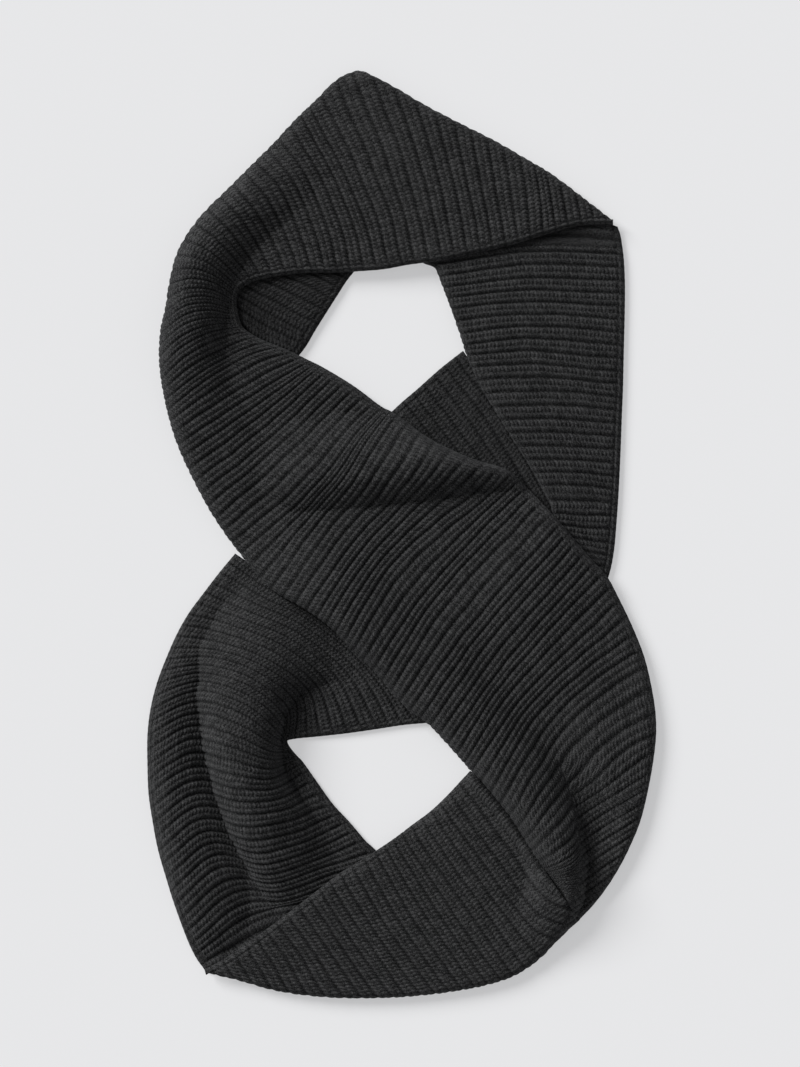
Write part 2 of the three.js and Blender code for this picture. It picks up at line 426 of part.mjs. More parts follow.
// A closed body through the rings of all ribs from one rib number to another.
function stretch(rows, folds, fromRib, toRib, shape) {
  const count = Math.max(2, Math.round((toRib - fromRib) * COLUMNS_PER_RIB));
  const even = count + (count % 2);
  const rings = [];
  for (let i = 0; i <= even; i += 1) {
    const rib = fromRib + ((toRib - fromRib) * i) / even;
    rings.push(ring(rows, folds, rib, i % 2 ? RIB_RISE : -RIB_RISE, shape));
  }
  const draw = (k, towards, amount) => {
    rings[k].points.forEach((p, i) => {
      const q = rings[towards].points[i];
      const dir = new THREE.Vector3(q.x - p.x, q.y - p.y, 0);
      if (dir.length() > 1e-6) p.add(dir.setLength(amount));
    });
  };
  if (shape.seamStart) draw(0, 1, SEAM / 2);
  if (shape.seamEnd) draw(even, even - 1, SEAM / 2);
  const size = rings[0].points.length;
  const face = rings[0].faceCount;
  const position = [];
  rings.forEach((one) => one.points.forEach((p) => position.push(p.x, p.y, p.z)));
  const index = [];
  for (let i = 0; i < even; i += 1) {
    for (let j = 0; j < size; j += 1) {
      const a = i * size + j;
      const b = i * size + ((j + 1) % size);
      const c = a + size;
      const d = b + size;
      index.push(a, c, b, b, c, d);
    }
  }
  cap(index, rings[0].points, 0, face, false);
  cap(index, rings[even].points, even * size, face, true);
  const geometry = new THREE.BufferGeometry();
  geometry.setAttribute('position', new THREE.Float32BufferAttribute(position, 3));
  geometry.setIndex(index);
  return outward(geometry);
}

// Closes an end: the face points and the underside points are zipped together.
function cap(index, points, base, face, flip) {
  const total = points.length;
  let top = 0;
  let low = total - 1;
  const push = (a, b, c) => {
    if (flip) index.push(base + a, base + c, base + b);
    else index.push(base + a, base + b, base + c);
  };
  while (top < face - 1 || low > face) {
    const topStep = top < face - 1 ? points[top + 1].distanceTo(points[low]) : Infinity;
    const lowStep = low > face ? points[low - 1].distanceTo(points[top]) : Infinity;
    if (topStep <= lowStep) {
      push(top, top + 1, low);
      top += 1;
    } else {
      push(top, low - 1, low);
      low -= 1;
    }
  }
}

// Turns the faces so that they look outward.
function outward(geometry) {
  const p = geometry.getAttribute('position');
  const index = Array.from(geometry.getIndex().array);
  const a = new THREE.Vector3();
  const b = new THREE.Vector3();
  const c = new THREE.Vector3();
  let volume = 0;
  for (let i = 0; i < index.length; i += 3) {
    a.fromBufferAttribute(p, index[i]);
    b.fromBufferAttribute(p, index[i + 1]);
    c.fromBufferAttribute(p, index[i + 2]);
    volume += a.dot(b.cross(c));
  }
  if (volume < 0) {
    for (let i = 0; i < index.length; i += 3) {
      [index[i + 1], index[i + 2]] = [index[i + 2], index[i + 1]];
    }
    geometry.setIndex(index);
  }
  geometry.computeVertexNormals();
  return geometry;
}

const CHARCOAL = 0x2b2c2e;
const group = new THREE.Group();
group.name = 'infinity_scarf';

function add(name, geometry) {
  const material = new THREE.MeshStandardMaterial({ color: CHARCOAL, roughness: 0.95, metalness: 0 });
  material.name = 'knit';
  const mesh = new THREE.Mesh(geometry, material);
  mesh.name = name;
  group.add(mesh);
}

const SEAM_RIB = 32.5; // the rib groove where the top stretch hands over to the crossing stretch

add('upper_stretch', stretch(UPPER, UPPER_FOLDS, 0, SEAM_RIB,
  { edge: 2, inner: 7, curved: true, ledge0: true, ledge4: true, seamEnd: true }));
add('crossing_stretch', stretch(CROSSING, UPPER_FOLDS, SEAM_RIB, 100,
  { edge: 2, inner: 7, curved: true, ledge0: true, ledge4: true, seamStart: true, seamEnd: true }));
add('bottom_stretch', stretch(BOTTOM, UPPER_FOLDS, 0, 25.5,
  { edge: 2, inner: 7, ledge4: true, seamStart: true }));
add('right_stretch', stretch(RIGHT, [], 0, 26.9, { edge: 1, inner: 5, ledge0: true }));
add('inner_tuck', stretch(INNER_TUCK, [], 0, 7.2, { edge: 1, inner: 4 }));
add('left_underlay', stretch(LEFT_UNDERLAY, [], 0, 8.5, { edge: 1, inner: 4 }));
add('lower_left_stretch', stretch(LOWER_LEFT, LOWER_FOLDS, 0, 33.5,
  { edge: 1, inner: 11 }));

export default group;
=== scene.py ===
import math
import bpy
import numpy as np
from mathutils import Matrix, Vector


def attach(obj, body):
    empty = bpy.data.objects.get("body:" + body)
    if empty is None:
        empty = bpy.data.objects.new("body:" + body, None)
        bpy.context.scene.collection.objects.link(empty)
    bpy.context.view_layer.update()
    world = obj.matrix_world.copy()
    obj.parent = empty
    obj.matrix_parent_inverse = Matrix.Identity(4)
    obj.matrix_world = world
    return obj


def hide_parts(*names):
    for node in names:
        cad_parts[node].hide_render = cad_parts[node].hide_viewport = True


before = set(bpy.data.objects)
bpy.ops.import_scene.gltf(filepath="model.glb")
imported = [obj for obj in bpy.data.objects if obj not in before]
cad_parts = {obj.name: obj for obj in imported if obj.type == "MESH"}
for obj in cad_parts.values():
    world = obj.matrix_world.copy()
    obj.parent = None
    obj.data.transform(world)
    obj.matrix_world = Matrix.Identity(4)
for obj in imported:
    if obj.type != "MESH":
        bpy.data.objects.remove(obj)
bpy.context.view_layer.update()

# A ribbed knit infinity scarf laid flat in a figure eight. The tables are in mm, the scene in metres.
# Each stretch of the band is a shell of cloth over its solid's form, with ribs and stitches raised.

MM = 0.001
CLOTH = 3.6  # thickness of the shell
RIB = 1.5  # height of a rib over the groove beside it
GROOVE_WIDTH = 0.13  # how far a groove widens into the rib, as a share of the pitch
WALE_DIP = 0.6  # depth of the groove between a rib's two wales, as a share of the rib
WALE_DIP_WIDTH = 0.085
STITCH = 0.6  # height of the yarn in a stitch
STITCH_PITCH = 2.6  # along the rib
STITCH_VEE = 0.3  # how far a stitch's sides run ahead of its middle, in stitches
STITCH_BLUNT = 0.8  # less than 1 gives the yarn a blunter top
WALE_SHIFTS = 64  # how many wales pass before their shifts along the rib repeat
WALE_SHIFT = 0.12  # the most that a wale is shifted, in stitches
STITCH_SHIFT = 0.3  # how far a stitch strays along its rib
STITCH_SPREAD = 0.6  # how much the stitches differ in height
WANDER = 0.028  # how far the ribs stray sideways, as a share of a rib
WANDER_WAVE = (18, 60)  # over what lengths they do
WANDER_COUNT = 9  # how many waves are added up
EASY_PITCH = 7.5  # ribs closer than this are flatter, in proportion
LEAST_RELIEF = 0.35  # but keep this share of their height
PAINTED_SHADE = {"left_underlay_cloth": 0.66, "inner_tuck_cloth": 0.78}  # painted shade: the lower layers are darkened for the shade they lie in under the upper ones
COLUMNS = 8  # mesh columns to a rib
ROW_STEP = 0.95  # mesh rows along a rib
LINE_POINTS = 140  # points across the cloth on one rib
TURN_POINTS = 12  # points round a turned edge
UNDER_POINTS = 6  # points from there to its end underneath
EDGE_ROUND = 0.55  # radius of a side's rounding, as a share of the height there
EDGE_LIMIT = 0.45  # but no more than this share of the cloth's width
EDGE_RELIEF = 0.3  # share of the relief that is left at the very edge
EDGE_CALM = 1.6  # over how many radii the relief grows to its full height
TUCK = 13  # how far a turned edge runs on underneath
TUCK_HEIGHT = (6, 3)  # the edge's height where it begins to, and the further height over which it grows
TUCK_LEAST = 0.3  # shorter ones are left out
TUCK_LIFT = 0.1  # how far the tucked cloth lies over the bottom of the edge
RIM = 2.4  # length over which the shell's inside meets its edge
INSIDE_STEP = 10  # rows of the face to one row of the inside
FACE_FLOOR = 0.05  # the lowest that the face goes
INSIDE_FLOOR = 0.02  # the lowest that the inside goes
SETTLE = ((4.5, 5.5, 10), (0, 1.7, 3.2))  # edge heights, and how far each sinks onto the cloth below
BORDER = 6  # width of the chain border along a selvedge
CHAIN_PITCH = 3.0  # from chain to chain across the border
CHAIN_START = 0.15  # where the first one lies, in chains
CHAIN_RISE = 0.9
CHAIN_SINK = 0.35
LINK_PITCH = 6.0  # how far across the border the links shift by one
LINK_SHARE = 0.45  # how much the links break up the chain
SEED = 11

# The ribs at the lower right turn, in plan: the crest line that they meet, and their run beyond it.
TURN_CREST = [
    (80, -104), (101, -146), (110, -170), (114, -190), (116, -208), (114, -225), (109, -242), (99, -264),
]
TURN_ORIGIN = (142, -161)  # a place on the rib numbered next
TURN_RIB = 88
TURN_START = 25.5  # length along that rib from the outer side to that place
TURN_ANGLE = 33  # degrees that the ribs rise towards the outer side
TURN_PITCH = 7.2  # from rib to rib
TURN_TOP = -140  # where the bend begins, and over what height it grows
TURN_BLEND = 40
TURN_REACH = 25  # how far from the crest line the bottom's ribs begin to bend
TURN_BEND = {"crossing_cloth": 0.0, "bottom_cloth": 1.0}  # ribs that they climb by
TURN_CALM = 1.6  # how far from the crest line the relief is back to its full height

# The yarn's looks. Its tone goes from the dark colour at 0 to the light one at 1.
YARN_DARK = (0.004, 0.0041, 0.0043, 1)
YARN_LIGHT = (0.066, 0.0665, 0.0675, 1)
TONE_STITCH_PAINTED_SHADE = 0.15  # what each thing adds to the tone: the yarn's crest in a stitch, lighter than the painted shade between stitches
TONE_RIB_PAINTED_SHADE = 0.42  # the rib's crest, lighter than the painted shade in its grooves
TONE_FIBRE = 5.6
TONE_CHANCE = 0.32  # a chance value for each stitch
TONE_PATCH = 0.16  # large soft patches
CREST_WIDTH = 0.16  # where the rib's crest begins, as a share of a rib; short of it the groove gets painted shade
CREST_DIP_WIDTH = 0.26  # and its wale's, as a share of a wale
CREST_DIP = 0.45
FIBRE_SCALE = 1750
PATCH_SCALE = 38
STRAND_TWIST = 1.5  # stitches that the strands in a yarn lean over by
STRANDS = 3  # strands to a stitch
BUMP_STITCH = 0.45
BUMP_STRAND = 0.08
BUMP_FIBRE = 0.9
MIX_FACTOR, MIX_A, MIX_B, MIX_RESULT = 0, 6, 7, 2  # sockets of a mix node for colours

RIB_LINE = [
    "rib", "x0", "y0", "x1", "y1", "x2", "y2", "x3", "y3", "x4", "y4",
    "low0", "lowM", "low4", "top0", "topM", "top4",
]
SHORT_LINE = ["rib", "x0", "y0", "x2", "y2", "x4", "y4", "low0", "lowM", "low4", "top0", "topM", "top4"]
FOLD_POINT = ["x", "y", "rise", "left", "right", "fallL", "fallR"]


def table(columns, rows):
    return {name: np.array([row[i] for row in rows], float) for i, name in enumerate(columns)}


UPPER = table(RIB_LINE, [
  [0, 137.2, 201.2, 136.9, 202, 136.6, 202.9, 136.2, 203.8, 135.8, 204.8, 5.8, 5.8, 5.8, 9.4, 9.4, 9.4],
  [2, 121, 201, 120.3, 205, 119.5, 209.5, 118.6, 214, 117.5, 218.8, 6.4, 6.4, 5, 10.4, 10.6, 10.2],
  [3, 112.5, 200, 111.3, 206, 110.2, 212.5, 109, 219, 107.7, 226.5, 7.4, 3, 1, 11.5, 11, 10],
  [4, 104, 197.8, 102.5, 207, 101, 216, 99.5, 225, 97.8, 233.8, 8.2, 0, 0, 12.3, 11.5, 10],
  [6, 88, 193, 87, 205, 85.5, 217, 84, 229.5, 82, 243.3, 9.2, 0, 0, 13.3, 12, 10],
  [8, 71.5, 188, 69, 204, 66, 221, 63, 239, 60.3, 255.8, 9.6, 0, 0, 13.8, 12, 10],
  [10, 55, 184, 52, 203, 48, 224, 43.5, 245, 39, 266.5, 9.8, 0, 0, 14, 12, 10],
  [12, 38.5, 180.5, 34.5, 204, 29, 229, 22.5, 254, 15, 279, 9.9, 0, 0, 14.1, 12, 10],
  [14, 22, 177.3, 16.5, 205, 8.5, 235, -1, 265, -12, 294.5, 9.9, 0, 0, 14.1, 12, 10],
  [15, 13.5, 176.3, 7, 204.5, -1.3, 233.5, -12, 263.5, -26.5, 301, 9.4, 0, 0, 13.6, 12, 10],
  [16, 5, 175.2, -2, 204, -11, 232, -22, 261, -38, 297.8, 8.6, 0, 0, 12.8, 12, 10],
  [18, -11.7, 172.3, -18, 198, -28, 224, -40, 250, -56.5, 281.3, 7, 0, 0, 11.2, 12, 10],
  [20, -28.6, 171, -34, 196, -43, 221, -54, 243, -69, 269.3, 6, 0, 0, 10.2, 12, 10.5],
  [22, -45.4, 170, -51, 194, -59, 216, -69, 236, -83.5, 253.5, 5.7, 0, 0, 9.9, 12, 11],
  [24, -62.3, 169.8, -67.5, 187, -75, 206, -85, 224, -98.5, 238.5, 5.7, 0, 0, 9.9, 12, 11.5],
  [26, -79, 168, -83, 178, -90, 192, -99, 207, -113.5, 223.3, 5.7, 0, 0, 9.9, 11.5, 12],
  [28, -94, 165, -98, 172, -105.5, 182, -115.5, 194, -130.5, 206, 5.7, 0, 0, 9.9, 9.6, 12],
  [30, -103.5, 160.3, -108.5, 166, -117, 173.5, -128, 181, -143.5, 186.5, 5.7, 0, 0, 9.9, 9, 11],
  [32.5, -106.8, 153.5, -112.5, 158, -122, 163, -134, 165, -150.5, 162, 5.7, 0, 0, 9.9, 9, 11],
  [34, -107, 149.5, -113, 152.5, -123, 156, -135, 156, -152.5, 148.5, 5.7, 0, 0, 9.9, 9, 11],
])

CROSSING = table(RIB_LINE, [
  [30, -103.5, 160.3, -108.5, 166, -117, 173.5, -128, 181, -143.5, 186.5, 5.7, 0, 0, 9.9, 9, 11],
  [32.5, -106.8, 153.5, -112.5, 158, -122, 163, -134, 165, -150.5, 162, 5.7, 0, 0, 9.9, 9, 11],
  [34, -107, 149.5, -113, 152.5, -123, 156, -135, 156, -152.5, 148.5, 5.7, 0, 0, 9.9, 9, 11],
  [36, -106, 144, -112.5, 145.5, -123, 147.5, -137, 145.5, -155.8, 134, 5.7, 0, 0, 9.9, 9.4, 11],
  [38, -104.5, 138.5, -112, 138.5, -124, 138, -139, 133, -157, 118.5, 5.7, 0, 0, 9.9, 11.5, 12],
  [40, -101.5, 133.5, -110, 132, -123, 128.5, -139, 119, -156.2, 104, 5.7, 0, 0, 9.9, 12, 12],
  [42, -91, 127, -105, 122, -121, 114, -137, 103.5, -154, 90.5, 5.7, 0, 0, 9.9, 12.5, 12],
  [44, -75, 120.5, -93, 115.5, -113, 105, -132, 92, -151, 77, 5.7, 0, 0, 9.9, 13, 12],
  [46, -61.5, 114, -80, 104.5, -102, 91.5, -124, 77, -146.5, 62, 4, 0, 0, 10, 13, 12],
  [49.2, -49.5, 108, -66, 92.5, -86, 75, -108, 57.5, -135.5, 37, 0, 0, 0, 10, 13, 12],
  [52.4, -30, 96, -47, 80, -66, 60.5, -90, 38, -121.5, 11.5, 0, 0, 0, 10, 13, 12],
  [55.1, -14, 84, -31, 67, -47, 46, -70, 22, -107, -9, 0, 0, 4, 10, 13, 11],
  [58.5, -3, 78, -14, 62, -30, 36, -52, 10, -84.5, -34.5, 5, 0, 10.6, 10, 13, 14.6],
  [61.5, 21, 61, 11, 44, -6, 23, -30, -3, -61.5, -48.3, 5.7, 0, 14.5, 10.6, 13.5, 18.5],
  [64, 48, 48.6, 32, 33, 6, 9, -19, -18, -46, -59.5, 5.7, 0, 14.5, 10.6, 13.5, 18.5],
  [66, 68, 42.6, 52, 26, 26, 6, -2, -20, -34.5, -71.2, 5.7, 0, 12.5, 10.6, 13, 16.5],
  [68, 79, 33, 62, 18, 36, -8, 10, -37, -22, -83.7, 5.8, 0, 10, 10.8, 13, 14.2],
  [70.3, 89.5, 22.5, 71, 3, 46, -23, 21, -53, -8, -99.2, 7.5, 0, 7.4, 12, 13, 11.8],
  [72.3, 102, 9, 82, -13, 57, -41, 32, -72, 4, -112.6, 10.6, 0, 5.9, 14.8, 13.5, 10.3],
  [74.3, 112.5, -3.5, 92, -26, 66, -55, 42, -86, 17, -122, 9.8, 0, 5.9, 14, 13.5, 10.3],
  [76.2, 123, -15.5, 103, -38, 77, -67, 53, -97, 28, -133.5, 8, 0, 5, 12.2, 13, 10],
  [78, 134, -28, 114, -48, 88, -76, 63, -105, 38, -144.7, 5.8, 0, 4, 10.2, 12.5, 9.8],
  [79.5, 141.5, -42, 122, -61, 97, -85, 72, -113, 44.8, -152.6, 0, 0, 0, 9, 12, 9.8],
  [81.3, 150.5, -61, 129, -77, 104, -98, 78, -127, 56, -166, 0, 0, 0, 9, 11, 10.5],
  [83.4, 158.8, -83.5, 137, -97, 111, -118, 88, -149, 68.5, -181, 0, 0, 0, 9, 10, 11.5],
  [85.8, 165.1, -119, 143, -131, 119, -153, 98, -177, 80.3, -199.5, 0, 0, 0, 9, 9.5, 12.5],
  [88, 163.3, -147, 142, -161, 123, -181, 109, -202, 89.8, -214.3, 0, 0, 0, 9, 9.5, 13],
  [90, 157, -178.5, 139, -188, 123, -199, 110, -213, 94, -219, 0, 0, 0, 9, 9.5, 13],
  [92.5, 148.5, -201.5, 134, -208, 121, -214.5, 109, -219.5, 96, -222.5, 0, 0, 0, 9, 9.5, 12],
  [95, 138.2, -221, 127.5, -224.5, 117.5, -226.5, 108, -226.5, 98.5, -226, 0, 0, 0, 9, 9.5, 11],
  [97.5, 127, -237, 120, -236, 113.5, -234.5, 107.5, -232, 101.5, -230, 0, 0, 0, 9, 9.5, 10.5],
  [100, 115.5, -249.6, 112.8, -245.6, 110.2, -241.6, 107.4, -237.8, 104.5, -234, 0, 0, 0, 9, 9.5, 10],
])

BOTTOM = table(RIB_LINE, [
  [0, 114.9, -250, 103.5, -234.1, 91.6, -218.2, 68.6, -183.6, 43.9, -153.5, 0, 0, 0, 9, 9.5, 9.7],
  [2, 101.5, -262.5, 89, -247, 77, -231, 54.5, -199.5, 31, -167.6, 0, 0, 0, 9, 10, 9.7],
  [4, 88.5, -275.8, 76, -259, 64, -242.5, 41.5, -211, 19, -179, 0, 0, 0, 9, 10.5, 9.7],
  [6, 73, -286, 61, -269.5, 50, -253, 28, -222, 6, -188.7, 0, 0, 2, 9, 10.5, 9.7],
  [8, 56, -291.7, 45, -276.5, 34.5, -261, 14.5, -230, -5.5, -197.3, 0, 0, 5.8, 9, 10.5, 9.9],
  [10, 40, -295, 30, -281.5, 19, -266, 1, -238, -17, -205, 0, 0, 5.8, 9, 10.5, 10],
  [13, 13, -298.6, 3, -286, -7.5, -271, -24, -246, -40, -219.2, 0, 0, 6.6, 9, 10.5, 10.8],
  [16, -15, -300.3, -23, -289.5, -32.5, -275.5, -46, -256, -60, -234.5, 0, 0, 8.9, 9, 10.5, 13],
  [19, -49, -299.8, -56, -289, -63, -276, -72, -263, -81.5, -251, 0, 0, 8, 9, 10.5, 12.2],
  [22, -84, -295, -87.5, -289, -91.5, -281.5, -96.5, -273.5, -101, -265.3, 0, 0, 5.8, 9, 10, 10],
  [24, -108, -288.2, -110, -285.3, -112, -282, -114, -279, -116, -275.3, 2, 2, 5.8, 9, 9.5, 10],
  [25.5, -126.6, -283.8, -126.9, -283.3, -127.2, -282.8, -127.5, -282.3, -127.8, -281.8,
   5.8, 5.8, 5.8, 9.4, 9.4, 9.4],
])

RIGHT = table(SHORT_LINE, [
  [0, 112, 206.5, 127, 204.5, 140.3, 200.2, 0, 0, 0, 4.4, 4.3, 4.2],
  [0.7, 76, 195.5, 112, 199, 142.2, 194.6, 0, 0, 0, 6.5, 5.5, 4.2],
  [1.4, 19.5, 180.5, 80, 188.8, 143.4, 187.3, 0, 0, 0, 8.4, 7, 4.2],
  [2.3, 22.3, 173, 80, 181.3, 144.3, 180, 0, 0, 0, 8.4, 7.2, 4.4],
  [3.8, 26.5, 162, 75, 168, 145, 167, 0, 0, 0, 8.4, 7.2, 4.4],
  [6.3, 33, 144.5, 75, 148.7, 145, 146, 2, 0, 0, 8.6, 7.2, 4.4],
  [8.3, 38.5, 128.5, 75, 132.7, 144.6, 129, 5.7, 0, 0, 9.9, 7.4, 4.4],
  [10.3, 43, 114.5, 75, 116.7, 144.2, 112, 5.7, 0, 0, 9.9, 7.6, 4.4],
  [12.4, 51, 97, 85, 99, 143.8, 94.5, 5.7, 0, 0, 9.9, 7.6, 4.4],
  [14.4, 61, 80, 95, 80.7, 143.1, 77.5, 5.7, 0, 0, 9.9, 7.6, 4.4],
  [16.4, 71.5, 63, 105, 63.2, 142.5, 60.5, 5.7, 0, 0, 9.9, 7.6, 4.4],
  [18.3, 82, 46.5, 110, 46.2, 141.8, 44, 5.7, 0, 0, 9.9, 7.6, 4.4],
  [20.2, 91, 31, 115, 30.2, 141, 28, 5.7, 0, 0, 9.9, 7.4, 4.4],
  [21.4, 97, 19, 118, 18.7, 140.3, 17, 5.7, 0, 0, 9.9, 7.2, 4.4],
  [22.4, 98, 11.5, 118, 10.2, 139.7, 9, 5.7, 0, 0, 9.6, 7, 4.4],
  [24.5, 105, -4, 123, -7.5, 138, -10, 1.5, 0, 0, 7.6, 5.8, 4.3],
  [26.1, 119, -18.5, 128, -20.5, 135.8, -22, 0, 0, 0, 5.6, 5, 4.2],
  [26.9, 127, -26.5, 131, -27.6, 134, -28.5, 0, 0, 0, 4.4, 4.3, 4.2],
])

INNER_TUCK = table(SHORT_LINE, [
  [0, -9, 77.5, -4, 73, 1, 68.5, 0, 0, 0, 4.2, 4.2, 4.2],
  [1.4, 0, 86, 13, 71, 26, 55, 0, 0, 0, 4.2, 4.2, 4.2],
  [2.9, 10, 94.5, 28, 71.5, 48, 44, 0, 0, 0, 4.2, 4.2, 4.2],
  [4.4, 20, 103.5, 43, 74, 68, 37.5, 0, 0, 0, 4.2, 4.2, 4.2],
  [5.2, 25.5, 108.3, 52, 74, 82, 26, 0, 0, 0, 4.2, 4.2, 4.2],
  [5.9, 30.5, 112.3, 60, 74, 96.5, 12.5, 0, 0, 0, 4.2, 4.2, 4.2],
  [7.2, 40, 119.6, 67, 80, 102.5, 13, 0, 0, 0, 4.2, 4.2, 4.2],
])

LEFT_UNDERLAY = table(SHORT_LINE, [
  [0, -111.5, 141, -95, 123, -70, 112.5, 0, 0, 0, 4, 4, 4],
  [1.4, -113.5, 151, -88, 135, -62.5, 122, 0, 0, 0, 4, 4, 4],
  [3, -110, 162, -81, 146, -56, 133, 0, 0, 0, 4.2, 4.2, 4.2],
  [4.5, -99, 169, -72, 157, -48.5, 145, 0, 0, 0, 4.2, 4.2, 4.2],
  [6, -84, 174.5, -62, 167, -41.5, 156, 0, 0, 0, 4.2, 4.2, 4.2],
  [7.5, -62, 176.5, -48, 172.5, -35, 166, 0, 0, 0, 4.2, 4.2, 4.2],
  [8.5, -42, 177, -36, 175, -30.5, 171.5, 0, 0, 0, 4.2, 4.2, 4.2],
])

LOWER_LEFT = table(RIB_LINE, [
  [0, -108, -12, -76, -33.5, -53, -50, 0, -100, 17.6, -121.9, 0, 0, 0, 4.2, 4.2, 4.2],
  [2, -118, -24, -90, -40, -62, -54, -12, -100, 1, -123.4, 0, 0, 0, 4.2, 4.2, 4.2],
  [4, -128, -37, -100, -49, -66, -64, -30, -97, -16, -126, 0, 0, 0, 4.2, 4.2, 4.2],
  [6, -138.3, -51, -108, -59, -74, -73, -46, -99, -35, -128.7, 0, 0, 0, 4.2, 4.4, 4.2],
  [8, -146.2, -65, -116, -70, -83, -82, -59, -103, -53, -130.7, 0, 0, 0, 4.2, 4.8, 4.2],
  [10, -153, -80.5, -122, -79, -90, -90, -69, -109, -69, -132.3, 0, 0, 0, 4.2, 5, 4.2],
  [11, -156, -88, -126, -84, -93, -94.5, -73, -114, -73.5, -133.2, 0, 0, 0, 4.2, 5, 4.2],
  [12.5, -160, -100, -130, -92, -97, -101, -77, -120, -74, -135, 0, 0, 0, 4.2, 5, 4.2],
  [14, -163, -113, -132, -101, -99, -110, -80, -127, -73, -137, 0, 0, 0, 4.2, 5, 4.2],
  [16, -165, -130, -134, -115.5, -102, -123, -82, -135.5, -71, -139.8, 0, 0, 0, 4.2, 5, 4.2],
  [18, -165, -149, -136, -132, -106, -137.5, -84, -145, -67.5, -143.8, 0, 0, 0, 4.2, 5, 4.2],
  [20, -164.3, -168, -136, -150.5, -108, -154.5, -83, -157, -64, -147.5, 0, 0, 0, 4.2, 5, 4.2],
  [22, -161.5, -187, -133, -167.5, -105, -171.5, -79, -170, -56, -158.8, 0, 0, 0, 4.2, 5, 4.2],
  [24, -158, -205, -129, -183.5, -101, -188.5, -72, -184, -44.8, -174.5, 0, 0, 0, 4.2, 5, 4.2],
  [26, -152.8, -223, -122, -199.5, -95, -205.5, -65, -199, -34.2, -186, 0, 0, 0, 4.2, 4.6, 4.2],
  [28, -147.5, -240, -115, -214.5, -89, -219.5, -58, -211.5, -24, -198, 0, 0, 0, 4.2, 4.4, 4.2],
  [29.5, -142.5, -254, -107, -226.5, -84, -228.5, -53, -219.5, -15, -208.5, 0, 0, 0, 4.2, 4.3, 4.2],
  [31, -137.5, -266.5, -101, -239, -77, -237.5, -50, -228.5, -27, -217.5, 0, 0, 0, 4.2, 4.2, 4.2],
  [32.5, -132.5, -276, -103, -255, -85, -247, -65, -242.5, -45, -230, 0, 0, 0, 4.2, 4.2, 4.2],
  [33.5, -128.5, -281.5, -111, -275, -96, -267.5, -80, -257, -62, -243.5, 0, 0, 0, 4.2, 4.2, 4.2],
])

UPPER_FOLDS = [
  # the roll along the left turn
  table(FOLD_POINT, [
    [-50, 258, 0, 24, 30, 1.6, 1.6],
    [-84, 230, 5, 26, 34, 1.5, 1.6],
    [-114, 203, 12, 26, 34, 1.4, 1.3],
    [-134, 174, 18, 26, 27, 1.2, 1],
    [-139, 144, 19, 26, 28, 1.2, 0.95],
    [-139, 116, 14, 25, 32, 1.3, 1.3],
    [-132, 84, 7, 26, 34, 1.5, 1.5],
    [-114, 50, 3, 28, 34, 1.6, 1.6],
    [-92, 16, 0, 30, 36, 1.6, 1.6],
  ]),
  # the swell across the crossing stretch, steep on its lower side
  table(FOLD_POINT, [
    [-92, 30, 0, 40, 18, 1.5, 1.5],
    [-60, 38, 9, 40, 22, 1.5, 1.1],
    [-22, 43, 14, 38, 24, 1.5, 1],
    [16, 47, 16, 30, 24, 1.5, 0.95],
    [46, 48, 14, 17, 20, 1.5, 0.9],
    [70, 42.5, 7, 13, 14, 1.5, 0.9],
    [84, 32, 0, 10, 10, 1.5, 1],
  ]),
  # the long ridge that runs down the crossing stretch into the lower turn
  table(FOLD_POINT, [
    [-96, 2, 0, 30, 26, 1.5, 1.5],
    [-62, -22, 8, 32, 28, 1.5, 1.1],
    [-26, -56, 12, 34, 28, 1.6, 1.1],
    [12, -92, 13, 36, 28, 1.6, 1.1],
    [46, -128, 14, 34, 27, 1.6, 1.1],
    [76, -162, 15, 30, 25, 1.5, 1.1],
    [96, -190, 16, 22, 24, 1.3, 1.1],
    [106, -212, 17, 15, 24, 0.9, 1.1],
    [105, -232, 14, 14, 26, 0.8, 1.3],
    [98, -250, 8, 14, 26, 0.9, 1.5],
    [88, -266, 2, 14, 24, 1.2, 1.6],
    [78, -276, 0, 14, 22, 1.2, 1.6],
  ]),
  # the hollow beside that ridge
  table(FOLD_POINT, [
    [30, -52, 0, 22, 20, 1.5, 1.5],
    [58, -84, -3.5, 22, 22, 1.5, 1.5],
    [88, -116, -5, 22, 22, 1.5, 1.5],
    [112, -150, -5, 20, 18, 1.5, 1.5],
    [127, -184, -4, 18, 14, 1.5, 1.5],
    [126, -220, 0, 14, 12, 1.5, 1.5],
  ]),
]

LOWER_FOLDS = [
  # the raised pleat that turns down the lower left stretch
  table(FOLD_POINT, [
    [-56, -48, 0, 52, 44, 1.5, 1.5],
    [-70, -60, 9, 46, 44, 1.3, 1.3],
    [-82, -72, 15, 38, 44, 1, 1],
    [-94, -88, 20, 31, 40, 0.7, 0.8],
    [-102, -108, 24, 28, 31, 0.5, 0.6],
    [-105, -132, 26, 26, 24, 0.5, 0.5],
    [-100, -160, 25.5, 24, 22, 0.6, 0.5],
    [-91, -188, 21, 32, 21, 0.9, 0.5],
    [-81, -212, 14, 36, 18, 1.1, 0.6],
    [-71, -232, 5, 34, 16, 1.3, 0.8],
    [-62, -248, 0, 30, 14, 1.5, 1],
  ]),
  # the low swell along its outer selvedge
  table(FOLD_POINT, [
    [-116, -32, 0, 14, 16, 1.5, 1.5],
    [-136, -68, 4, 18, 14, 1.4, 1.2],
    [-150, -108, 7, 22, 15, 1.3, 1.1],
    [-152, -150, 9, 26, 14, 1.2, 1.1],
    [-146, -192, 11, 32, 15, 1.1, 1.1],
    [-134, -230, 11, 36, 17, 1.1, 1.1],
    [-122, -256, 6, 26, 15, 1.2, 1.2],
    [-112, -272, 0, 16, 12, 1.5, 1.5],
  ]),
]


